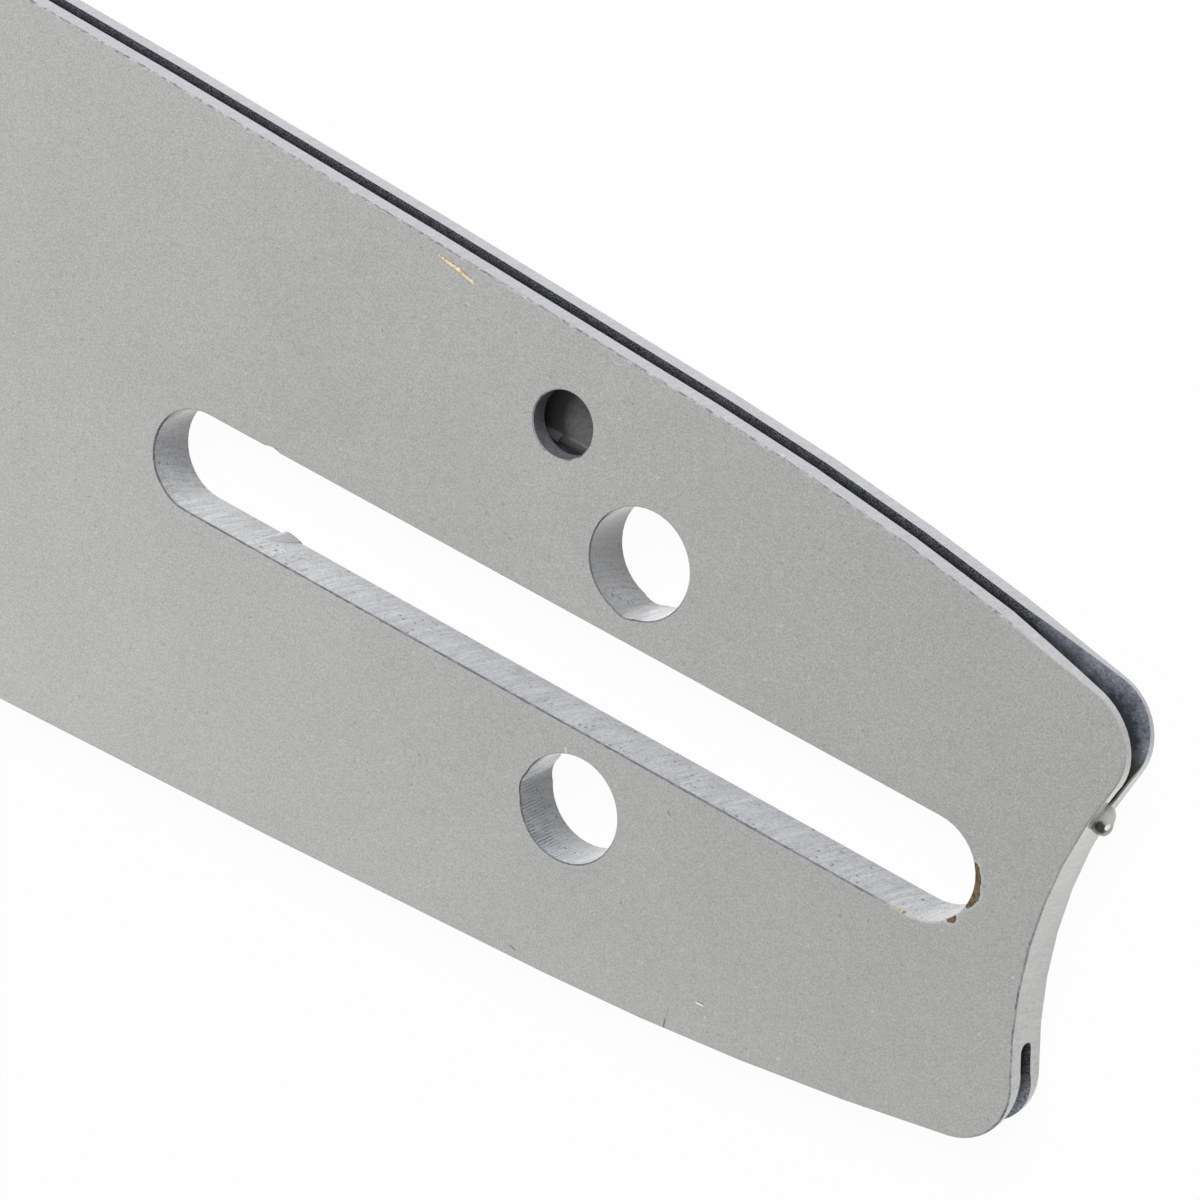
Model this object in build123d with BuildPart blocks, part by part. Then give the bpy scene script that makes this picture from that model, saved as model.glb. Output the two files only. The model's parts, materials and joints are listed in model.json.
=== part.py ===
from build123d import *

import os
from math import asin, atan2, copysign, cos, degrees, radians, sin, sqrt, tan

# Chainsaw guide bar: one laser-cut steel plate with a chain groove all round its edge.
#
# Frame: the bar lies flat. The origin is the centre of the stud slot at half the
# plate's thickness, +X points to the saw end, +Y across the bar, +Z out of a side face.
# The bar is reversible: half a turn about X brings it back onto itself.

# Plate, in mm
plate_thickness = 4.5
edge_round = 0.2
hole_chamfer = 0.1

# Stud slot and chain adjuster holes
slot_length = 77.0
slot_width = 8.4
adjuster_diameter = 8.7
adjuster_spacing = 21.2
adjuster_x = 5.4

# Small bites that the laser leaves where a cut starts and ends. A hole's bite is placed
# by its angle from +X, the slot's by its distance from the slot's end nearest the nose.
bite_depth = 0.16
bite_radius = 1.9
upper_hole_bite_angle = -92.0
lower_hole_bite_angle = 181.0
slot_bite_from_end = 10.6

# Rails: two flat arcs each, widest at the belly, that run into a round nose
shoulder_x = 7.2
shoulder_half_width = 24.4
belly_x = -180.0
belly_rise = 7.6
nose_reach = 403.5
nose_radius = 24.0

# Saw end: a hollow that clears the drive sprocket, between two rounded corners
tail_rail_radius = 240.0
sprocket_radius = 38.2
sprocket_web = 5.5
corner_radius = 4.8

# Chain groove, and the oil inlets that open into it. An inlet ends just inside the
# groove, at a distance from the bar's mid-plane.
groove_width = 1.5
groove_depth = 10.2
groove_floor_round = 0.6
groove_floor_bend_x = -5.26
adjuster_web = 0.2
groove_exit_y = 10.0
oil_inlet_diameter = 5.3
oil_inlet_x = -3.9
oil_inlet_end = 0.55

# Flare of the groove at both corners of the saw end, which leads the chain in. From a
# line across the corner the inner sides of both walls lean away from each other.
flare_from_corner = 5.3
flare_direction = 55.5
flare_lean = 15.0

# Bead of metal left where the groove ends at the saw end
bead_radius = 0.75
bead_from_groove = 1.35
bead_stand_off = 0.4

# Rear rail: an arc that is level at the belly and passes through the shoulder
belly_half_width = shoulder_half_width + belly_rise
rear_reach = shoulder_x - belly_x
rear_radius = (rear_reach**2 + belly_rise**2) / (2 * belly_rise)
rear_centre = (belly_x, belly_half_width - rear_radius)
taper = asin(rear_reach / rear_radius)

# Front rail: an arc that is level at the belly and touches the round of the nose
nose_x = nose_radius - nose_reach
front_reach = belly_x - nose_x
nose_drop = belly_half_width - nose_radius
front_radius = nose_radius + (front_reach**2 + nose_drop**2) / (2 * nose_drop)
front_centre = (belly_x, belly_half_width - front_radius)
nose_turn = degrees(atan2(front_reach, -front_centre[1]))

# Floor of the groove: parallel to the rail as far as the bend, then straight past the
# oil inlet to a point over the adjuster hole, which it clears by a thin web
groove_floor_radius = rear_radius - groove_depth
floor_bend_turn = asin((groove_floor_bend_x - belly_x) / groove_floor_radius)
floor_bend_y = rear_centre[1] + groove_floor_radius * cos(floor_bend_turn)
floor_over_hole = (adjuster_x, (adjuster_spacing + adjuster_diameter) / 2 + adjuster_web)
oil_inlet_y = floor_bend_y + oil_inlet_diameter / 2

# Places at the saw end that follow from the sizes above
sprocket_x = slot_length / 2 + sprocket_web + sprocket_radius
blank_end_x = sprocket_x - sprocket_radius / 2
blank_half_size = nose_reach + belly_half_width


def hollow_x(y):
    """X of the sprocket hollow at a distance y from the bar's axis."""
    return sprocket_x - sqrt(sprocket_radius**2 - y**2)


def cut_edges(part, wires):
    """Edges of both side faces: wires picks from each face's wires, shortest first."""
    sides = part.faces().filter_by(Axis.Z).group_by(Axis.Z)
    picked = [face.wires().sort_by(SortBy.LENGTH)[wires] for face in sides[0] + sides[-1]]
    return [edge for group in picked for wire in group for edge in wire.edges()]


def draw_rail(inset, rear_turn):
    """Draw the upper rail as far as the tip of the nose, moved in by inset. It starts
    rear_turn degrees of its rear arc away from the belly. Return the point of the start."""
    rear_rail = CenterArc(rear_centre, rear_radius - inset, 90 - rear_turn, rear_turn)
    CenterArc(front_centre, front_radius - inset, 90, nose_turn)
    CenterArc((nose_x, 0), nose_radius - inset, 90 + nose_turn, 90 - nose_turn)
    return rear_rail @ 0


# Space of the groove: a sheet as thick as the groove is wide, with the bar's core cut
# out of it. The core's edge is the groove's floor, and it leaves through the hollow.
floor_exit = (hollow_x(groove_exit_y), groove_exit_y)

with BuildPart() as groove_space:
    with BuildSketch():
        Rectangle(2 * blank_half_size, 2 * blank_half_size)
    extrude(amount=groove_width / 2, both=True)
    with BuildSketch() as core:
        with BuildLine():
            floor_bend = draw_rail(groove_depth, degrees(floor_bend_turn))
            straight_floor = Line(floor_bend, floor_over_hole)
            TangentArc(floor_over_hole, floor_exit, tangent=straight_floor % 1)
            Polyline(floor_exit, (blank_end_x, groove_exit_y), (blank_end_x, 0))
            mirror(about=Plane.XZ)
        make_face()
    extrude(amount=groove_width, both=True, mode=Mode.SUBTRACT)
    groove_walls = groove_space.faces().filter_by(Axis.Z)
    floor_edges = [edge for wall in groove_walls for edge in wall.inner_wires()[0].edges()]
    fillet(floor_edges, groove_floor_round)

# The bar itself
tail_sweep = degrees((blank_end_x - shoulder_x) / tail_rail_radius)
slot_bite_x = slot_bite_from_end - slot_length / 2
slot_bite_y = slot_width / 2 + bite_depth - bite_radius
hole_bite_reach = adjuster_diameter / 2 + bite_depth - bite_radius
flare_mouth = groove_width / 2 + flare_from_corner * tan(radians(flare_lean))
flare_profile = [
    (0, flare_mouth),
    (-flare_from_corner, groove_width / 2),
    (-flare_from_corner, -groove_width / 2),
    (0, -flare_mouth),
]

with BuildPart() as bar_body:
    with BuildSketch() as plate:
        with BuildLine():
            shoulder = draw_rail(0, degrees(taper))
            tail_rail = JernArc(shoulder, (cos(taper), -sin(taper)), tail_rail_radius, -tail_sweep)
            Line(tail_rail @ 1, ((tail_rail @ 1).X, 0))
            mirror(about=Plane.XZ)
        make_face()
        with Locations((sprocket_x, 0)):
            Circle(sprocket_radius, mode=Mode.SUBTRACT)
        corners = plate.vertices().group_by(Axis.X)[-1]
        fillet(corners, corner_radius)

        SlotOverall(slot_length, slot_width, mode=Mode.SUBTRACT)
        with Locations((slot_bite_x, slot_bite_y)):
            Circle(bite_radius, mode=Mode.SUBTRACT)

        for side, bite_angle in ((1, upper_hole_bite_angle), (-1, lower_hole_bite_angle)):
            with Locations((adjuster_x, side * adjuster_spacing / 2)):
                Circle(adjuster_diameter / 2, mode=Mode.SUBTRACT)
                with PolarLocations(hole_bite_reach, 1, start_angle=bite_angle):
                    Circle(bite_radius, mode=Mode.SUBTRACT)
    extrude(amount=plate_thickness / 2, both=True)

    # One oil inlet in each side face, under the rail that is uppermost from that side
    with Locations(
        Location((oil_inlet_x, oil_inlet_y, plate_thickness / 2)),
        Location((oil_inlet_x, -oil_inlet_y, -plate_thickness / 2), (180, 0, 0)),
    ):
        Hole(oil_inlet_diameter / 2, depth=plate_thickness / 2 - oil_inlet_end)

    # The outline and the slot, the two longest wires, have rounded edges, and the round
    # holes are chamfered. The groove is cut after that, so its own edges stay sharp.
    fillet(cut_edges(bar_body, slice(-2, None)), edge_round)
    chamfer(cut_edges(bar_body, slice(-2)), hole_chamfer)
    add(groove_space.part, mode=Mode.SUBTRACT)

    # The flares, one across each corner
    for corner in corners:
        outward = Vector(1, 0, 0).rotate(Axis.Z, copysign(flare_direction, corner.Y))
        with BuildSketch(Plane(corner.center(), outward, outward.cross(Vector(0, 0, 1)))):
            with BuildLine():
                Polyline(flare_profile, close=True)
            make_face()
        extrude(amount=belly_half_width, both=True, mode=Mode.SUBTRACT)

    # The bead sits in the hollow, just past the groove's upper end
    bead_y = groove_exit_y - bead_from_groove
    with Locations((hollow_x(bead_y) + bead_stand_off, bead_y, 0)):
        Sphere(bead_radius)

bar_body.part.label = "bar_body"
os.makedirs("parts", exist_ok=True)
export_step(bar_body.part, "parts/bar_body.step")
print("bar_body", bar_body.part.bounding_box(), "volume", round(bar_body.part.volume, 1))
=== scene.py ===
import json
from math import cos, pi, radians, sin

import bpy
from mathutils import Euler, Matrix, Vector, noise


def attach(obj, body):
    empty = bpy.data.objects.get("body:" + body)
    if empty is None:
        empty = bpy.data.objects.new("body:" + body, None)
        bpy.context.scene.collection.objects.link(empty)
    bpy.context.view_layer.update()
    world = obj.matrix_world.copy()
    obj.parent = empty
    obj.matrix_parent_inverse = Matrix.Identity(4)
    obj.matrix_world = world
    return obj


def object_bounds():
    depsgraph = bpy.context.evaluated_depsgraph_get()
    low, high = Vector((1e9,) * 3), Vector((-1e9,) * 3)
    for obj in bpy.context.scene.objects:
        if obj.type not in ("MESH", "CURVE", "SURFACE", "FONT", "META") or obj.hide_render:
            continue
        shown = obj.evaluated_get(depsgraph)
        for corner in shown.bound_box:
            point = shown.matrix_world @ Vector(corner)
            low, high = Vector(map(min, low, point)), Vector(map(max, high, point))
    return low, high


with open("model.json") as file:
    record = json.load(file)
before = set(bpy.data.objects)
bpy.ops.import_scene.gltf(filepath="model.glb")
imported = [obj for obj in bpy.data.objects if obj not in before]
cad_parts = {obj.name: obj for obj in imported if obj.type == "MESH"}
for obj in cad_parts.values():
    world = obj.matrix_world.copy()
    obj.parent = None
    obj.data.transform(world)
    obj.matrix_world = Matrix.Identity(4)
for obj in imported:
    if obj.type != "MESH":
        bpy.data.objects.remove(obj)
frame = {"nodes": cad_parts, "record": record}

# Chainsaw guide bar: its finish, the light and the camera. Sizes and places are in
# millimetres in the model's frame, and become metres where a Blender object is made.

mm = 0.001
cad_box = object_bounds()
mounts = {mount["name"]: mount for mount in frame["record"]["mounts"]}
half_thickness = cad_box[1].z / mm

# Camera, as the photograph was taken: turns in degrees, the rest in millimetres
camera_place = (154.725, 162.428, 293.223)
camera_turn = (-16.604, 33.306, 17.312)
camera_lens = 147.006
camera_sensor = 36.0
camera_near_limit = 10.0

# Light: levels are the look of a white surface that faces the sky or the lamp. The
# lamp's distance and size are in metres.
sky_level = 0.43
key_level = 0.93
key_direction = (-0.12, 0.81, 0.57)
key_distance = 1.2
key_size = 0.9

# Floor: half its size in metres, its grey, and how much of its look is the backdrop's
floor_half_size = 6.0
floor_grey = (0.85, 0.85, 0.85, 1.0)
floor_glow_share = 0.96
white = (1.0, 1.0, 1.0, 1.0)

# Openings, groove and outline of the bar, as its solid has them
slot_radius = mounts["stud_slot"]["dims"]["hole_r_mm"]
slot_end_x = mounts["stud_slot"]["dims"]["slot_length_mm"] / 2 - slot_radius
hole_x, hole_y = [value / mm for value in mounts["adjuster_hole_upper"]["pos_m"][:2]]
hole_radius = mounts["adjuster_hole_upper"]["dims"]["r_mm"]
inlet_x, inlet_y = [value / mm for value in mounts["oil_inlet_front"]["pos_m"][:2]]
inlet_radius = mounts["oil_inlet_front"]["dims"]["r_mm"]
hollow_x = 82.2
hollow_radius = 38.2
groove_half_width = 0.75
edge_round = 0.2
round_start = half_thickness - edge_round
opening_margin = 0.4
belly_x = -180.0
rail_centre_y = -2277.28
rail_radius = 2309.28
shoulder_x = 7.2
tail_rail_centre = (-12.25, -214.81)
tail_rail_radius = 240.0
corner_radius = 4.8
groove_exit_y = 10.0
floor_bend_x = -5.26

# Lines of the laser cut: pitch of the comb in the lower adjuster hole, and how far a line
# is dragged back where the beam left the plate
comb_pitch = 0.26
cut_drag = -1.0


def tone(red, green, blue):
    """Scene colour of a display colour that is given in steps from 0 to 255."""
    linear = [((step / 255 + 0.055) / 1.055) ** 2.4 for step in (red, green, blue)]
    return (*linear, 1.0)


# Marks on the front face: points along the mark, half its width, softness, colour
face_marks = (
    (((18.31, -23.39), (18.27, -23.03), (18.23, -22.41)), 0.05, 0.05, tone(96, 96, 98)),
    (((18.23, -22.41), (18.2, -21.22)), 0.03, 0.05, tone(150, 150, 150)),
    (((20.34, -19.62), (20.86, -19.56)), 0.05, 0.04, tone(96, 94, 78)),
    (((20.3, -19.72), (20.84, -19.68)), 0.07, 0.04, tone(248, 248, 236)),
    (((21.32, -20.5),), 0.06, 0.05, tone(235, 235, 232)),
    (((21.87, -21.48),), 0.06, 0.06, tone(105, 105, 108)),
    (((19.43, -17.77),), 0.06, 0.06, tone(140, 140, 140)),
    (((19.33, -18.22),), 0.05, 0.06, tone(146, 146, 146)),
    (((3.83, -23.69), (4.37, -23.86)), 0.05, 0.05, tone(110, 110, 110)),
    (((43.98, 15.23),), 0.07, 0.09, tone(182, 165, 128)),
    (((38.05, -1.62), (38.22, -1.42)), 0.07, 0.05, tone(112, 112, 108)),
    (((33.54, -4.16),), 0.12, 0.05, tone(188, 146, 62)),
    (((33.95, -4.2),), 0.12, 0.05, tone(116, 104, 62)),
    (
        ((-39.98, 8.93), (-39.69, 8.71), (-39.4, 8.66), (-39.1, 8.75)),
        0.02, 0.05, tone(146, 146, 146),
    ),
    (((-1.29, 24.32), (-0.93, 24.23), (-0.54, 24.33)), 0.03, 0.05, tone(204, 204, 203)),
    (((-0.54, 24.33), (-0.22, 24.61), (0.2, 24.85)), 0.02, 0.05, tone(194, 194, 192)),
    (((3.7, -6.05), (3.98, -6.5)), 0.04, 0.05, tone(238, 236, 214)),
    (((1.44, -11.56),), 0.04, 0.05, tone(226, 226, 220)),
    (((13.46, -6.47), (13.67, -6.7)), 0.05, 0.05, tone(118, 112, 92)),
    (((-25.9, 24.4), (-24.9, 24.05)), 0.05, 0.3, tone(186, 186, 168)),
    (((-12.9, 17.3), (-11.6, 12.4), (-9.8, 6.9)), 0.1, 0.9, tone(178, 178, 177)),
    (((-6.2, 7.0),), 0.2, 0.3, tone(170, 170, 170)),
)

# Brown stains along the slot's edge: points along the stain, half its width
stains = (
    (
        ((38.13, 2.01), (38.6, 1.3), (38.74, 0.69), (38.88, 0.17), (38.91, -0.28), (38.53, -1.04)),
        0.27,
    ),
    (((38.69, 0.15), (38.65, -0.36), (38.45, -0.92)), 0.2),
    (((37.5, -2.66), (37.62, -2.6)), 0.43),
)

# Thin gold sliver stuck to the front face, near the rail
sliver_points = (
    (-17.92, 25.46), (-16.94, 25.29), (-16.04, 25.16),
    (-15.3, 24.98), (-14.63, 24.8), (-14.12, 24.63),
)
sliver_half_width = 0.17
sliver_height = 0.09

# Ridge that the laser left on the slot's wall: x and z along it, and how far its crest
# leans towards the nose, as a share of the half width
ridge_points = ((-28.0, 0.25), (-27.55, -0.3), (-27.05, -1.1), (-26.64, -2.2))
ridge_half_width = 0.75
ridge_height = 0.27
ridge_lean = -0.75

# Unevenness of the sliver and the ridge: a share of their size, and lumps in each mm
strip_unevenness = 0.2
strip_lumps = 1.7

# Bead at the groove's upper end, a drop of bare metal under a skirt of paint
bead_place = (45.392, 8.65, 0.0)
bead_radius = 0.79
bead_tip_reach = 1.55
bead_unevenness = 0.06
bead_lumps = 1.5
# Centres of a painted dark reflection and a painted highlight on the bead, in millimetres from its
# centre
bead_reflection_spot = (0.171, 0.17, 0.752)
bead_highlight_spot = (0.588, 0.292, 0.439)

# Lump of paint on the near rail's edge
lump_place = (14.05, 23.7, 2.13)
lump_radii = (0.22, 0.2, 0.11)


class Shader:
    """Node tree of one material. Values are sockets or plain numbers. Mix nodes have the
    same names for several inputs, so those are picked by number: 0 is the factor, 2 and 3
    are plain values, 6 and 7 are colours."""

    def __init__(self, tree):
        self.tree = tree
        self.tree.nodes.clear()

    @classmethod
    def material(cls, name):
        material = bpy.data.materials.new(name)
        material.use_nodes = True
        return material, cls(material.node_tree)

    def add(self, kind, inputs=(), **settings):
        node = self.tree.nodes.new("ShaderNode" + kind)
        for key, value in settings.items():
            setattr(node, key, value)
        for key, value in dict(inputs).items():
            if isinstance(value, bpy.types.NodeSocket):
                self.tree.links.new(value, node.inputs[key])
            else:
                node.inputs[key].default_value = value
        return node

    def finish(self, surface_inputs):
        """Principled surface, and the material's output."""
        surface = self.add("BsdfPrincipled", surface_inputs)
        self.add("OutputMaterial", {"Surface": surface.outputs[0]})

    def place(self):
        """Point of the surface in the object's own space, in millimetres."""
        inputs = {0: self.add("TexCoord").outputs["Object"], "Scale": 1 / mm}
        return self.add("VectorMath", inputs, operation="SCALE").outputs[0]

    def normal(self):
        """X, Y and Z of the surface's direction in the object's own space."""
        return self.parts(self.add("TexCoord").outputs["Normal"])

    def parts(self, vector):
        return self.add("SeparateXYZ", {0: vector}).outputs

    def vector(self, x, y, z):
        return self.add("CombineXYZ", enumerate((x, y, z))).outputs[0]

    def math(self, operation, *values):
        return self.add("Math", enumerate(values), operation=operation).outputs[0]

    def add_up(self, first, *others):
        for other in others:
            first = self.math("ADD", first, other)
        return first

    def times(self, first, *others):
        """Product. Of masks, it is the mask of where all of them hold."""
        for other in others:
            first = self.math("MULTIPLY", first, other)
        return first

    def either(self, first, *others):
        """Largest of some values. Of masks, it is the mask of where any of them holds."""
        for other in others:
            first = self.math("MAXIMUM", first, other)
        return first

    def outside(self, mask):
        return self.math("SUBTRACT", 1.0, mask)

    def above(self, value, edge, soft):
        """1 where value is above edge, 0 where it is below, smooth over soft each way."""
        spans = {"Value": value, "From Min": edge - soft, "From Max": edge + soft}
        return self.add("MapRange", spans, interpolation_type="SMOOTHSTEP").outputs[0]

    def below(self, value, edge, soft):
        return self.outside(self.above(value, edge, soft))

    def ramp(self, value, low, high):
        """0 up to low, 1 from high on, straight between them."""
        return self.add("MapRange", {"Value": value, "From Min": low, "From Max": high}).outputs[0]

    def clamped(self, value):
        return self.add("Clamp", {0: value}).outputs[0]

    def distance(self, x, y, centre_x, centre_y):
        """Distance in the plane between a point and a fixed centre."""
        inputs = {0: self.vector(x, y, 0.0), 1: (centre_x, centre_y, 0.0)}
        return self.add("VectorMath", inputs, operation="DISTANCE").outputs["Value"]

    def line_distance(self, x, y, points):
        """Distance in the plane between a point and a line through fixed points. It is
        plain arithmetic, because vector nodes in a row fill up the renderer's stack."""
        if len(points) == 1:
            return self.distance(x, y, *points[0])
        nearest = None
        for start, end in zip(points, points[1:]):
            run_x = end[0] - start[0]
            run_y = end[1] - start[1]
            length_squared = run_x**2 + run_y**2
            away_x = self.math("SUBTRACT", x, start[0])
            away_y = self.math("SUBTRACT", y, start[1])
            share = self.math("MULTIPLY", away_x, run_x / length_squared)
            share = self.clamped(self.math("MULTIPLY_ADD", away_y, run_y / length_squared, share))
            away_x = self.math("MULTIPLY_ADD", share, -run_x, away_x)
            away_y = self.math("MULTIPLY_ADD", share, -run_y, away_y)
            gap = self.math("MULTIPLY_ADD", away_x, away_x, self.times(away_y, away_y))
            nearest = gap if nearest is None else self.math("MINIMUM", nearest, gap)
        return self.math("SQRT", nearest)

    def noise(self, point, scale, detail=2.0, roughness=0.5):
        """Noise centred on 0, mostly between -0.3 and 0.3."""
        inputs = {"Vector": point, "Scale": scale, "Detail": detail, "Roughness": roughness}
        cloud = self.add("TexNoise", inputs)
        return self.math("SUBTRACT", cloud.outputs["Fac"], 0.5)

    def specks(self, point, scale, radius, share):
        """Small round dots: radius is a share of the cell, share is how many cells have one."""
        cells = self.add("TexVoronoi", {"Vector": point, "Scale": scale})
        chosen = self.add("SeparateColor", {0: cells.outputs["Color"]}).outputs[0]
        dots = self.below(cells.outputs["Distance"], radius, radius * 0.4)
        return self.times(dots, self.below(chosen, share, 0.001))

    def mix(self, factor, first, second):
        """First colour where factor is 0, second where it is 1."""
        node = self.add("Mix", {0: factor, 6: first, 7: second}, data_type="RGBA")
        return node.outputs[2]

    def choose(self, factor, first, second):
        """As mix, for plain values."""
        return self.add("Mix", {0: factor, 2: first, 3: second}).outputs[0]

    def shaded(self, colour, change):
        """Colour made lighter or darker by change, which is 0 for no change."""
        factor = self.math("ADD", change, 1.0)
        grey = self.add("CombineColor", enumerate((factor, factor, factor))).outputs[0]
        inputs = {0: 1.0, 6: colour, 7: grey}
        return self.add("Mix", inputs, data_type="RGBA", blend_type="MULTIPLY").outputs[2]


class Zones:
    """Where each kind of surface lies on the bar, as masks from the object's own space.
    Height is the distance from the bar's mid-plane and width the distance from its axis.
    Front_y is Y, turned round behind the mid-plane, because the bar is the same when it is
    turned over about X. Far_y is the opposite. Flatness is 1 on the side faces and 0 on
    the walls."""

    def __init__(self, shader):
        self.point = shader.place()
        self.x, self.y, self.z = shader.parts(self.point)
        self.normal_x, self.normal_y, normal_z = shader.normal()
        self.flatness = shader.math("ABSOLUTE", normal_z)
        self.height = shader.math("ABSOLUTE", self.z)
        self.width = shader.math("ABSOLUTE", self.y)
        self.front_y = shader.times(self.y, shader.math("SIGN", self.z))
        self.far_y = shader.times(self.front_y, -1.0)
        self.find_openings(shader)
        self.find_walls(shader)
        self.find_groove(shader)
        self.find_edges(shader)

        self.front = shader.above(self.z, round_start - 0.1, 0.01)
        other_walls = shader.either(self.opening_walls, self.inlet_wall, self.groove)
        self.rail = shader.times(self.wall, shader.outside(other_walls))
        self.tail_share = shader.ramp(self.before_hollow, 2.4, 0.2)
        self.glossy = shader.either(self.opening_walls, shader.times(self.rail, self.tail_share))

    def find_openings(self, shader):
        past_end = shader.math("SUBTRACT", shader.math("ABSOLUTE", self.x), slot_end_x)
        slot_reach = shader.distance(shader.either(past_end, 0.0), self.y, 0.0, 0.0)
        hole_reach = shader.distance(self.x, self.width, hole_x, hole_y)
        inlet_reach = shader.distance(self.x, self.front_y, inlet_x, inlet_y)
        hollow_reach = shader.distance(self.x, self.y, hollow_x, 0.0)
        self.near_slot = shader.below(slot_reach, slot_radius + opening_margin, 0.02)
        self.near_hole = shader.below(hole_reach, hole_radius + opening_margin, 0.02)
        self.near_inlet = shader.below(inlet_reach, inlet_radius + 0.05, 0.02)
        self.near_hollow = shader.below(hollow_reach, hollow_radius + 0.02, 0.01)
        self.before_hollow = shader.math("SUBTRACT", hollow_reach, hollow_radius)
        self.at_opening = shader.either(self.near_slot, self.near_hole)

    def find_walls(self, shader):
        """Walls reach up onto the rounded edges, along a ragged line."""
        self.upright = shader.below(self.flatness, 0.5, 0.01)
        between_edges = shader.below(self.height, round_start, 0.01)
        ragged = shader.math("MULTIPLY_ADD", self.at_opening, -0.4, 0.65)
        ragged = shader.times(shader.noise(self.point, 2.0, 3.0, 0.7), ragged)
        self.ragged_flatness = shader.math("ADD", self.flatness, ragged)
        wall = shader.either(
            shader.times(self.upright, between_edges),
            shader.below(self.ragged_flatness, 0.42, 0.06),
        )
        self.inner_side = shader.times(shader.outside(self.upright), between_edges)
        self.wall = shader.times(wall, shader.outside(self.inner_side))
        self.slot_wall = shader.times(self.wall, self.near_slot)
        self.hole_wall = shader.times(self.wall, self.near_hole)
        self.hollow_wall = shader.times(self.wall, self.near_hollow)
        self.opening_walls = shader.either(self.slot_wall, self.hole_wall, self.hollow_wall)

    def find_groove(self, shader):
        past_groove = shader.above(self.height, groove_half_width - 0.01, 0.005)
        self.inlet_wall = shader.times(self.wall, self.near_inlet, past_groove)
        before_exit = shader.below(self.width, groove_exit_y - 0.1, 0.01)
        elsewhere = shader.either(self.near_slot, self.near_hole, self.near_hollow, before_exit)
        floor = shader.times(self.wall, shader.outside(past_groove), shader.outside(elsewhere))
        self.groove = shader.either(self.inner_side, floor)
        leaning = shader.above(self.height, groove_half_width + 0.01, 0.01)
        self.flare = shader.times(self.inner_side, leaning)

    def find_edges(self, shader):
        """The line of painted shade lies on the rounded edges that face the upper rail, but not at
        the upper corner of the saw end, on the hollow's upper side or at the slot's near end."""
        edge = shader.times(
            shader.above(self.height, round_start + 0.02, 0.02),
            shader.below(self.flatness, 0.985, 0.012),
        )
        middle = shader.times(
            shader.above(self.ragged_flatness, 0.36, 0.12),
            shader.below(self.ragged_flatness, 0.95, 0.06),
            shader.below(self.flatness, 0.97, 0.01),
        )
        facing = shader.math("MULTIPLY_ADD", self.normal_x, 0.35, shader.times(self.normal_y, 0.94))
        at_tail = shader.times(shader.above(self.x, 36.0, 1.0), shader.above(self.y, 2.0, 1.5))
        thin = shader.times(self.near_hollow, shader.above(self.flatness, 0.6, 0.1))
        at_slot_end = shader.times(shader.above(self.x, slot_end_x - 2.0, 2.0), self.near_slot)
        without = [shader.outside(mask) for mask in (at_tail, thin, at_slot_end)]
        # Painted shade: a thin line on the rounded edges that face the upper rail.
        self.edge_shade_line = shader.times(edge, middle, shader.above(facing, -0.2, 0.12), *without)
        self.far_edge = shader.times(edge, shader.below(facing, -0.25, 0.12))

    def depth_inside(self, shader):
        """How far a point lies inside the outline, for the bar's half behind the belly. Near
        the rounded corners of the saw end it grows no deeper than their radius."""
        rear = shader.distance(self.x, self.width, belly_x, rail_centre_y)
        tail = shader.distance(self.x, self.width, *tail_rail_centre)
        rear = shader.math("SUBTRACT", rail_radius, rear)
        tail = shader.math("SUBTRACT", tail_rail_radius, tail)
        under_rail = shader.choose(shader.above(self.x, shoulder_x, 0.01), rear, tail)
        short_of_rail = shader.math("SUBTRACT", corner_radius, under_rail)
        short_of_rail = shader.either(short_of_rail, 0.0)
        short_of_hollow = shader.math("SUBTRACT", corner_radius, self.before_hollow)
        short_of_hollow = shader.either(short_of_hollow, 0.0)
        short = shader.distance(short_of_rail, short_of_hollow, 0.0, 0.0)
        return shader.math("SUBTRACT", corner_radius, short)

    def cut_point(self, shader):
        """Point that changes slowly along the thickness and is dragged back with depth, so
        that noise becomes the lines of a laser cut."""
        down = shader.ramp(self.z, half_thickness, -half_thickness)
        lag = shader.times(shader.math("POWER", down, 1.7), cut_drag)
        x = shader.math("MULTIPLY_ADD", self.normal_y, lag, self.x)
        y = shader.math("SUBTRACT", self.y, shader.times(self.normal_x, lag))
        return shader.vector(x, y, shader.times(self.z, 0.1))


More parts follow.
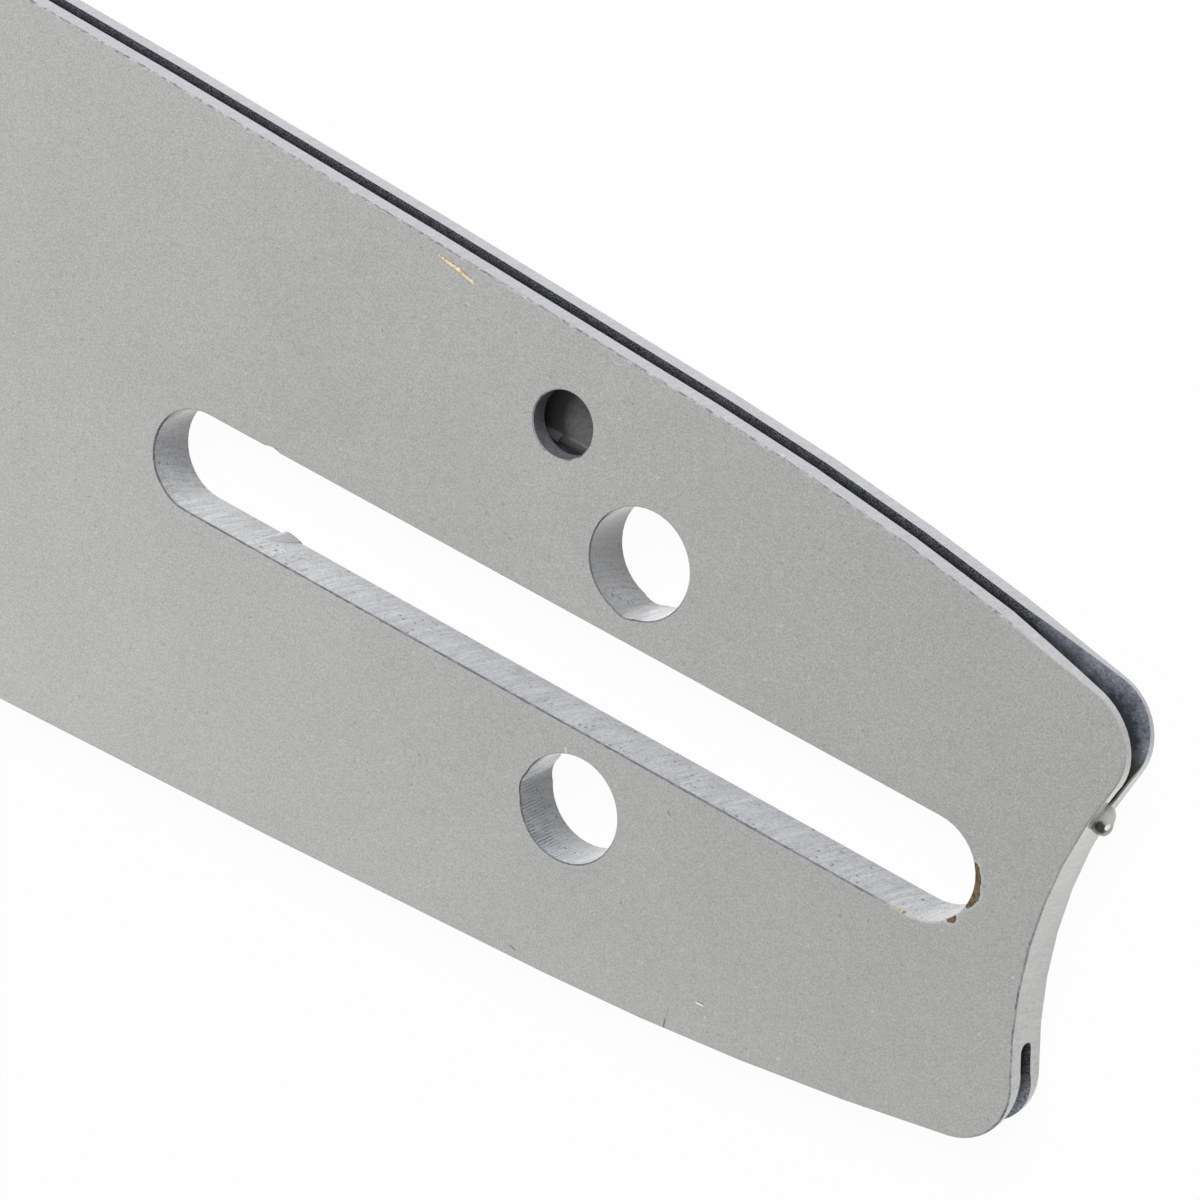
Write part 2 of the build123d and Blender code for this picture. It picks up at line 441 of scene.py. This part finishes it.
def face_colour(shader, zones):
    """Powder coat of the side faces: warm pale grey with a fine grain and a few specks, under
    painted light that is paler towards the nose and on the lower side, darker towards the tail.
    """
    drift = shader.times(shader.noise(zones.point, 0.035), 0.8)
    # Painted light: paler towards the nose, darker towards the tail, with a random drift of tone on
    # top.
    falloff_and_drift = shader.math("ADD", shader.ramp(zones.x, -60.0, 40.0), drift)
    colour = shader.mix(falloff_and_drift, tone(185, 185, 183), tone(170, 170, 169))
    grain = shader.times(shader.noise(zones.point, 7.0, 2.0, 0.75), 1.15)
    blotches = shader.times(shader.noise(zones.point, 1.3, 2.0, 0.6), 0.14)
    cloud = shader.times(shader.noise(zones.point, 0.22, 3.0, 0.6), 0.1)
    # Painted light: paler on the lower side.
    lower_side_light = shader.times(shader.ramp(zones.y, 4.0, -22.0), 0.1)
    colour = shader.shaded(colour, shader.add_up(grain, blotches, cloud, lower_side_light))
    dark_specks = shader.times(shader.specks(zones.point, 0.8, 0.09, 0.5), 0.45)
    colour = shader.mix(dark_specks, colour, tone(128, 127, 124))
    light_specks = shader.times(shader.specks(zones.point, 0.62, 0.08, 0.4), 0.6)
    colour = shader.mix(light_specks, colour, tone(206, 206, 198))
    rare_specks = shader.times(shader.specks(zones.point, 0.21, 0.03, 0.3), 0.8)
    return shader.mix(rare_specks, colour, tone(92, 90, 86))


def marked(shader, zones, colour):
    """Scratches and chips of the front face."""
    for points, half_width, soft, mark_tone in face_marks:
        reach = shader.line_distance(zones.x, zones.y, points)
        mask = shader.times(shader.below(reach, half_width, soft), zones.front)
        colour = shader.mix(mask, colour, mark_tone)
    return colour


def stained(shader, zones, colour):
    """Brown stains with a dark rim and a pale halo, on the front face at the slot's end."""
    ragged = shader.times(shader.noise(zones.point, 2.2), 0.25)
    depths = []
    for points, half_width in stains:
        reach = shader.math("ADD", shader.line_distance(zones.x, zones.y, points), ragged)
        depths.append(shader.math("SUBTRACT", half_width, reach))
    inside = shader.either(*depths)
    halo = shader.times(shader.above(inside, -0.2, 0.07), zones.front)
    colour = shader.mix(shader.times(halo, 0.4), colour, tone(196, 202, 205))
    cloud = shader.math("MULTIPLY_ADD", shader.noise(zones.point, 3.0, 3.0, 0.7), 4.0, 0.4)
    stain = shader.mix(shader.clamped(cloud), tone(70, 46, 16), tone(128, 108, 74))
    rim = shader.times(shader.below(inside, 0.05, 0.04), 0.75)
    stain = shader.mix(rim, stain, tone(62, 42, 18))
    return shader.mix(shader.times(shader.above(inside, 0.0, 0.03), zones.front), colour, stain)


def slot_colour(shader, zones):
    """Slot's wall: palest towards the nose, bluer in the middle, darker at the nose end as painted
    shade of that end wall, and pale again at the tail end as painted light.
    """
    colour = shader.mix(shader.ramp(zones.x, -34.0, -5.0), tone(187, 188, 190), tone(164, 166, 171))
    # Painted shade: darker at the nose end's wall.
    colour = shader.mix(shader.ramp(zones.x, -35.0, -38.4), colour, tone(156, 157, 158))
    # Painted light: paler at the tail end.
    return shader.mix(shader.ramp(zones.x, 31.0, 36.0), colour, tone(184, 185, 187))


def hole_colour(shader, zones):
    """Walls of both adjuster holes: dark grey, a comb of dark lines in the lower one, a pool of
    painted light on the lower one's wall that faces the lamp, and a light stretch in each,
    where its cut began, with stronger lines and a paleness that is painted light and reflection.
    Returns the light stretch too, as a mask."""
    around = shader.math(
        "ARCTAN2",
        shader.math("SUBTRACT", zones.width, hole_y),
        shader.math("SUBTRACT", zones.x, hole_x),
    )
    lower = shader.below(zones.y, 0.0, 0.01)
    wobble = shader.times(shader.noise(zones.point, 1.2, 2.0), 5.0)
    comb_turn = shader.math("MULTIPLY_ADD", around, 2 * pi * hole_radius / comb_pitch, wobble)
    comb = shader.times(
        shader.ramp(shader.math("SINE", comb_turn), -0.3, 0.8),
        shader.ramp(shader.noise(zones.point, 0.9, 2.0), -0.2, 0.1),
        shader.ramp(zones.z, -1.4, 0.6),
        lower,
    )
    colour = shader.mix(lower, tone(140, 141, 142), tone(140, 144, 148))
    colour = shader.mix(comb, colour, tone(70, 76, 84))
    # Painted light: the lower hole's wall that faces the lamp is made paler.
    painted_lit_side = shader.times(
        shader.ramp(around, radians(115.0), radians(60.0)), shader.above(around, 0.0, 0.3), lower
    )
    colour = shader.mix(shader.times(painted_lit_side, 0.6), colour, tone(214, 216, 220))

    upper_cut = shader.times(
        shader.above(around, radians(-93.0), 0.03), shader.below(around, radians(-15.0), 0.3)
    )
    lower_cut = shader.times(
        shader.below(around, radians(-107.0), 0.12), shader.above(around, radians(-179.0), 0.02)
    )
    cut_start_and_light = shader.choose(lower, upper_cut, lower_cut)
    # Painted light and reflection: the stretch where the cut began is made paler.
    brighter = shader.ramp(around, radians(-92.0), radians(-62.0))
    light = shader.mix(brighter, tone(160, 161, 163), tone(216, 217, 218))
    light = shader.mix(lower, light, tone(214, 215, 216))
    return shader.mix(cut_start_and_light, colour, light), cut_start_and_light


def wall_colours(shader, zones, colour):
    """Cut walls under a thin coat: lines of the laser cut, small pits, darker openings."""
    stripes = shader.noise(zones.cut_point(shader), 3.0, 4.0, 0.7)
    mottle = shader.noise(zones.point, 2.4, 3.0, 0.7)
    fine = shader.noise(zones.point, 6.0, 3.0, 0.7)
    grain = shader.math("ADD", shader.times(mottle, 0.6), shader.times(fine, 1.3))
    # Painted light: the rails are paler towards the saw end, to match the hollow.
    rail = shader.mix(zones.tail_share, tone(177, 177, 181), tone(199, 199, 198))
    rail = shader.shaded(rail, shader.times(shader.math("ADD", stripes, grain), 0.45))
    colour = shader.mix(zones.rail, colour, rail)

    hole, cut_start_and_light = hole_colour(shader, zones)
    walls = shader.mix(zones.hole_wall, slot_colour(shader, zones), hole)
    # Painted light: the hollow's wall is paler than the rails, palest on its upper half.
    hollow = shader.mix(shader.ramp(zones.y, 0.0, -20.0), tone(198, 198, 195), tone(190, 190, 188))
    walls = shader.mix(zones.hollow_wall, walls, hollow)
    quiet = shader.math("MULTIPLY_ADD", zones.hollow_wall, -0.4, 1.0)
    stripe_strength = shader.math("ADD", shader.times(cut_start_and_light, zones.hole_wall), 1.3)
    lines = shader.times(stripes, stripe_strength)
    walls = shader.shaded(walls, shader.times(shader.math("ADD", lines, grain), quiet))

    clusters = shader.ramp(shader.noise(zones.point, 0.35, 1.0), -0.12, 0.12)
    hole_top = shader.times(shader.ramp(zones.z, 0.8, 2.0), zones.hole_wall)
    clusters = shader.either(clusters, hole_top)
    pits = shader.times(shader.specks(zones.point, 1.6, 0.22, 0.5), clusters)
    small_pits = shader.times(shader.specks(zones.point, 3.4, 0.26, 0.5), clusters, 0.7)
    pits = shader.times(shader.either(pits, small_pits), quiet, 0.85)
    walls = shader.mix(pits, walls, tone(62, 63, 72))
    colour = shader.mix(zones.opening_walls, colour, walls)

    crack = shader.times(
        shader.below(zones.height, 0.09, 0.05),
        zones.hollow_wall,
        shader.above(zones.y, bead_place[1] + 0.3, 0.05),
        shader.below(zones.y, groove_exit_y + 0.6, 0.1),
    )
    colour = shader.mix(crack, colour, tone(58, 52, 44))
    inlet = shader.shaded(tone(98, 99, 104), shader.times(grain, 2.0))
    return shader.mix(zones.inlet_wall, colour, inlet)


def edge_colours(shader, zones, colour):
    """Edges: a thin broken dark line of painted shade on the edges that face the upper rail, a
    pale one on the other side.
    """
    pattern = shader.noise(zones.point, 1.5, 3.0, 0.75)
    at_opening = shader.math("MULTIPLY_ADD", pattern, 1.5, 0.92)
    at_outline = shader.math("MULTIPLY_ADD", pattern, 3.2, 0.5)
    broken = shader.clamped(shader.choose(zones.at_opening, at_outline, at_opening))
    # Painted shade: a thin dark line on the rounded edges that face the upper rail.
    colour = shader.mix(shader.times(zones.edge_shade_line, broken), colour, tone(84, 87, 96))
    at_corner = shader.times(
        shader.above(zones.x, 42.0, 2.0), shader.above(zones.y, 6.0, 2.0), 0.8
    )
    far_tone = shader.mix(at_corner, tone(236, 230, 214), tone(150, 136, 112))
    colour = shader.mix(shader.times(zones.far_edge, 0.7), colour, far_tone)
    nicks = shader.times(shader.specks(zones.point, 0.9, 0.14, 0.3), zones.far_edge)
    return shader.mix(nicks, colour, tone(112, 88, 72))


def flare_colour(shader, zones, depth, cloud):
    """Flared mouths of the groove: blue-grey steel, lighter at the rim and darker further in as
    painted shade. The upper mouth is darker than the lower one, which has paint at its tip."""
    fine = shader.noise(zones.point, 5.0, 3.0, 0.75)
    upper = shader.above(zones.y, 0.0, 1.0)
    rim_tone = shader.mix(upper, tone(172, 178, 186), tone(128, 133, 143))
    bare = shader.mix(upper, tone(108, 115, 127), tone(40, 44, 54))
    clouded_depth = shader.math("MULTIPLY_ADD", cloud, 2.8, depth)
    # Painted shade: darker with depth into the groove.
    colour = shader.mix(shader.ramp(clouded_depth, 0.05, 1.5), rim_tone, bare)
    speckle = shader.times(fine, shader.math("MULTIPLY_ADD", upper, -3.0, 5.5))
    colour = shader.shaded(colour, speckle)
    tip = shader.times(shader.ramp(zones.y, -22.5, -25.0), 0.5)
    colour = shader.mix(tip, colour, tone(176, 176, 166))
    dots = shader.times(shader.specks(zones.point, 3.0, 0.3, 0.3), 0.5)
    return shader.mix(dots, colour, tone(52, 56, 68))


def inlet_light_pool(shader, zones, cloud):
    """Pool of painted light on the groove's far wall, where light through an oil inlet falls, as a
    mask.
    """
    reach = shader.distance(zones.x, zones.far_y, inlet_x, inlet_y)
    shifted_reach = shader.distance(zones.x, zones.far_y, inlet_x + 1.2, inlet_y - 0.3)
    light_pool = shader.times(
        shader.below(shifted_reach, inlet_radius + 0.1, 0.75),
        shader.below(reach, inlet_radius + 1.4, 0.5),
        shader.math("MULTIPLY_ADD", cloud, 1.5, 0.9),
    )
    light_fringe = shader.times(shader.below(reach, inlet_radius + 1.2, 0.8), 0.2)
    on_far_wall = shader.above(zones.height, groove_half_width - 0.05, 0.03)
    return shader.times(shader.either(light_pool, light_fringe), on_far_wall)


def groove_colour(shader, zones):
    """Bare dark steel inside the groove, darker still further in as painted shade, blue-grey on
    the flares, and a pale patch of painted light on the far wall, where light through the oil
    inlet falls."""
    depth = zones.depth_inside(shader)
    cloud = shader.noise(zones.point, 1.4, 4.0, 0.72)
    finest = shader.noise(zones.point, 8.0, 2.0, 0.7)
    mottled = shader.math("ADD", shader.times(cloud, 0.6), shader.times(finest, 2.0))
    deep = shader.mix(shader.ramp(mottled, -0.16, 0.3), tone(32, 33, 38), tone(122, 126, 136))
    # Painted shade: darker deeper inside the outline.
    deep = shader.mix(shader.times(shader.ramp(depth, 0.25, 0.8), 0.85), deep, tone(20, 20, 23))
    opened = shader.ramp(zones.height, groove_half_width, groove_half_width + 0.6)
    flared = flare_colour(shader, zones, depth, cloud)
    colour = shader.mix(shader.times(zones.flare, opened), deep, flared)

    # Painted shade: the groove's floor past its bend is made dark, over a facet that catches light.
    floor_bend = shader.times(
        shader.below(zones.width, inlet_y - inlet_radius + 0.62, 0.12),
        shader.below(zones.x, floor_bend_x + 0.5, 0.15),
    )
    colour = shader.mix(floor_bend, colour, tone(20, 20, 22))
    # Painted light: the pale patch on the far wall where light comes in through the oil inlet.
    paint = shader.shaded(tone(130, 131, 131), shader.times(finest, 1.2))
    colour = shader.mix(inlet_light_pool(shader, zones, cloud), colour, paint)

    at_exit = shader.times(
        shader.above(zones.y, 9.0, 0.01),
        shader.below(zones.y, 13.8, 0.8),
        shader.above(zones.x, 40.0, 0.1),
    )
    colour = shader.mix(at_exit, colour, tone(56, 50, 42))
    lip = shader.times(shader.below(depth, 0.14, 0.06), shader.below(zones.z, 0.0, 0.01), at_exit)
    return shader.mix(lip, colour, tone(196, 197, 195))


def make_bar_material():
    material, shader = Shader.material("bar_paint")
    zones = Zones(shader)
    colour = face_colour(shader, zones)
    colour = wall_colours(shader, zones, colour)
    colour = edge_colours(shader, zones, colour)
    colour = marked(shader, zones, colour)
    colour = stained(shader, zones, colour)
    colour = shader.mix(zones.groove, colour, groove_colour(shader, zones))

    orange_peel = shader.times(shader.noise(zones.point, 2.2, 2.0, 0.6), 0.012)
    stripes = shader.times(shader.noise(zones.cut_point(shader), 3.0, 2.0), 0.05)
    height = shader.math("MULTIPLY_ADD", stripes, zones.upright, orange_peel)
    strength = shader.either(zones.glossy, shader.outside(zones.upright))
    bump = shader.add("Bump", {"Height": height, "Distance": mm, "Strength": strength})
    surface_inputs = {
        "Base Color": colour,
        "Roughness": shader.math("MULTIPLY_ADD", zones.glossy, -0.2, 0.52),
        "Coat Weight": shader.times(zones.glossy, 0.9),
        "Coat Roughness": 0.14,
        "Normal": bump.outputs[0],
    }
    shader.finish(surface_inputs)
    return material


def make_sliver_material():
    """Brass-coloured sliver: gold, with a painted highlight in cream on the side towards the slot
    and painted shade on its far side.
    """
    material, shader = Shader.material("sliver_gold")
    normal_x, normal_y, _ = shader.normal()
    across = shader.math("MULTIPLY_ADD", normal_x, 0.28, shader.times(normal_y, 0.96))
    ragged = shader.noise(shader.place(), 2.6, 2.0)
    across = shader.math("MULTIPLY_ADD", ragged, 2.6, across)
    # Painted highlight, cream, on the side towards the slot.
    colour = shader.mix(shader.ramp(across, -0.3, 0.3), tone(250, 240, 216), tone(208, 182, 134))
    # Painted shade on the far side.
    colour = shader.mix(shader.ramp(across, 0.45, 0.8), colour, tone(112, 86, 48))
    shader.finish({"Base Color": colour, "Roughness": 0.35})
    return material


def make_bead_material():
    """Drop of metal: pale and shiny, with a painted dark reflection and a painted highlight, under
    paint at its tip.
    """
    material, shader = Shader.material("bead_metal")
    point = shader.place()
    ragged = shader.times(shader.noise(point, 2.5, 2.0), 0.5)

    def spot(centre, radius, soft):
        inputs = {0: point, 1: centre}
        reach = shader.add("VectorMath", inputs, operation="DISTANCE").outputs["Value"]
        return shader.below(shader.math("ADD", reach, ragged), radius, soft)

    up = shader.parts(point)[1]
    paint = shader.above(shader.math("ADD", up, ragged), 0.36, 0.08)
    colour = shader.mix(paint, tone(168, 165, 156), tone(212, 212, 209))
    # Painted reflection, dark, and painted highlight, white, on the metal.
    colour = shader.mix(spot(bead_reflection_spot, 0.46, 0.12), colour, tone(58, 55, 46))
    colour = shader.mix(spot(bead_highlight_spot, 0.2, 0.08), colour, tone(250, 250, 250))
    metallic = shader.times(shader.outside(paint), 0.5)
    shader.finish({"Base Color": colour, "Roughness": 0.24, "Metallic": metallic})
    return material


def make_ridge_material():
    """Ridge of a laser cut: like the wall it stands on, with a painted highlight on the flank that
    faces the nose.
    """
    material, shader = Shader.material("ridge_paint")
    normal_x = shader.normal()[0]
    grain = shader.times(shader.noise(shader.place(), 4.0, 3.0, 0.7), 0.5)
    colour = shader.shaded(tone(178, 179, 183), grain)
    # Painted highlight on the flank that faces the nose.
    colour = shader.mix(shader.ramp(normal_x, 0.05, -0.35), colour, tone(240, 240, 237))
    shader.finish({"Base Color": colour, "Roughness": 0.4})
    return material


def make_lump_material():
    material, shader = Shader.material("lump_paint")
    shader.finish({"Base Color": tone(196, 196, 194), "Roughness": 0.5})
    return material


def add_piece(name, vertices, faces, material, place=(0.0, 0.0, 0.0)):
    """New smooth mesh piece that moves with the bar. Vertices are in millimetres."""
    mesh = bpy.data.meshes.new(name)
    mesh.from_pydata([[value * mm for value in vertex] for vertex in vertices], [], faces)
    for polygon in mesh.polygons:
        polygon.use_smooth = True
    mesh.materials.append(material)
    piece = bpy.data.objects.new(name, mesh)
    piece.location = [value * mm for value in place]
    bpy.context.scene.collection.objects.link(piece)
    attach(piece, "root")
    return piece


def make_strip(name, points, outward, half_width, height, material, growing_across=None, lean=0.0):
    """Thin arched strip along points on a surface whose outward direction is given. Its
    crest leans to one side by a share of the half width. It tapers at both ends and is
    square to its run, or grows from nothing to its full size across a given direction."""
    arch_steps = 10
    rings_per_stretch = 6
    sunk = 0.01
    least_swell = 0.02
    growth_power = 0.8
    taper_power = 0.3
    outward = Vector(outward)
    centres = []
    for start, end in zip(points, points[1:]):
        for step in range(rings_per_stretch):
            centres.append(Vector(start).lerp(Vector(end), step / rings_per_stretch))
    centres.append(Vector(points[-1]))
    vertices = []
    for index, centre in enumerate(centres):
        before = centres[max(index - 1, 0)]
        after = centres[min(index + 1, len(centres) - 1)]
        share = index / (len(centres) - 1)
        if growing_across:
            across = Vector(growing_across)
            swell = share**growth_power
        else:
            across = (after - before).cross(outward).normalized()
            swell = sin(pi * share) ** taper_power
        unevenness = strip_unevenness * noise.noise(centre * strip_lumps)
        swell = swell * (1 + unevenness) + least_swell
        for step in range(arch_steps + 1):
            turn = pi * step / arch_steps
            offset = across * (half_width * swell * (cos(turn) + lean * sin(turn)))
            vertices.append(centre + offset + outward * (height * swell * sin(turn) - sunk))
    ring = arch_steps + 1
    faces = [tuple(range(ring)), tuple(range(len(vertices) - 1, len(vertices) - 1 - ring, -1))]
    for index in range(len(centres) - 1):
        for step in range(ring):
            first = index * ring + step
            second = index * ring + (step + 1) % ring
            faces.append((first, first + ring, second + ring, second))
    return add_piece(name, vertices, faces, material)


def ball(columns, rows):
    """Directions and faces of a round ball with its poles on Y."""
    directions = [Vector((0, 1, 0))]
    for row in range(1, rows):
        tilt = pi * row / rows
        for column in range(columns):
            turn = 2 * pi * column / columns
            directions.append(Vector((sin(tilt) * cos(turn), cos(tilt), sin(tilt) * sin(turn))))
    directions.append(Vector((0, -1, 0)))
    faces = []
    last = len(directions) - 1
    for column in range(columns):
        right = (column + 1) % columns
        faces.append((0, 1 + right, 1 + column))
        for row in range(rows - 2):
            top = 1 + row * columns
            faces.append((top + column, top + right, top + columns + right, top + columns + column))
        faces.append((last, last - columns + column, last - columns + right))
    return directions, faces


def make_bead():
    """Drop around the solid's bead, drawn out to a tip towards the groove's end."""
    directions, faces = ball(columns=32, rows=24)
    vertices = []
    for direction in directions:
        reach = bead_radius + (bead_tip_reach - bead_radius) * max(direction.y, 0) ** 3
        reach *= 1 + bead_unevenness * noise.noise(direction * bead_lumps)
        vertices.append(direction * reach)
    return add_piece("groove_bead", vertices, faces, make_bead_material(), bead_place)


def make_lump():
    """Small flat lump of paint."""
    directions, faces = ball(columns=16, rows=12)
    vertices = [
        [part * radius for part, radius in zip(direction, lump_radii)] for direction in directions
    ]
    return add_piece("rail_lump", vertices, faces, make_lump_material(), lump_place)


def seen_directly(shader):
    """1 for rays that show the background: from the camera, in gloss and through glass."""
    rays = shader.add("LightPath").outputs
    return shader.either(
        rays["Is Camera Ray"], rays["Is Glossy Ray"], rays["Is Transmission Ray"]
    )


def make_floor():
    """White floor that the bar lies on. It looks nearly as bright as the backdrop, and
    part of its look comes from the light on it, so that it keeps the bar's shadow."""
    material, shader = Shader.material("floor_white")
    diffuse = shader.add("BsdfDiffuse", {"Color": floor_grey})
    glow = shader.add("Emission", {"Color": white, "Strength": 1.0})
    share = shader.times(seen_directly(shader), floor_glow_share)
    look = shader.add("MixShader", {0: share, 1: diffuse.outputs[0], 2: glow.outputs[0]})
    shader.add("OutputMaterial", {"Surface": look.outputs[0]})

    mesh = bpy.data.meshes.new("floor")
    corners = [(-1, -1), (1, -1), (1, 1), (-1, 1)]
    vertices = [(x * floor_half_size, y * floor_half_size, 0) for x, y in corners]
    mesh.from_pydata(vertices, [], [(0, 1, 2, 3)])
    floor = bpy.data.objects.new("floor", mesh)
    floor.location.z = cad_box[0].z
    floor.data.materials.append(material)
    bpy.context.scene.collection.objects.link(floor)


def make_world():
    """Soft light from all round, behind a white backdrop."""
    world = bpy.data.worlds.new("studio")
    world.use_nodes = True
    bpy.context.scene.world = world
    shader = Shader(world.node_tree)
    strength = shader.math("MULTIPLY_ADD", seen_directly(shader), 1.0 - sky_level, sky_level)
    sky = shader.add("Background", {"Color": white, "Strength": strength})
    shader.add("OutputWorld", {"Surface": sky.outputs[0]})


def make_lamp(name, direction, distance, size, level):
    """Square soft lamp aimed at the bar. level is the look of a white surface that faces it."""
    lamp = bpy.data.lights.new(name, "AREA")
    lamp.size = size
    lamp.energy = level * (pi * distance) ** 2
    lamp_object = bpy.data.objects.new(name, lamp)
    lamp_object.location = Vector(direction).normalized() * distance
    lamp_object.rotation_euler = (-lamp_object.location).to_track_quat("-Z", "Y").to_euler()
    bpy.context.scene.collection.objects.link(lamp_object)


def make_camera():
    camera = bpy.data.cameras.new("camera")
    camera.sensor_width = camera_sensor
    camera.lens = camera_lens
    camera.clip_start = camera_near_limit * mm
    camera_object = bpy.data.objects.new("camera", camera)
    camera_object.location = Vector(camera_place) * mm
    camera_object.rotation_euler = Euler([radians(angle) for angle in camera_turn])
    bpy.context.scene.collection.objects.link(camera_object)
    bpy.context.scene.camera = camera_object


bar = frame["nodes"]["bar_body"]
bar.data.materials.clear()
bar.data.materials.append(make_bar_material())
make_strip(
    "gold_sliver", [(x, y, half_thickness) for x, y in sliver_points], (0, 0, 1),
    sliver_half_width, sliver_height, make_sliver_material(),
)
make_strip(
    "slot_ridge", [(x, -slot_radius, z) for x, z in ridge_points], (0, 1, 0),
    ridge_half_width, ridge_height, make_ridge_material(), (1, 0, 0), ridge_lean,
)
make_bead()
make_lump()
make_camera()
make_floor()
make_world()
make_lamp("key", key_direction, key_distance, key_size, key_level)
bpy.context.scene.view_settings.view_transform = "Standard"
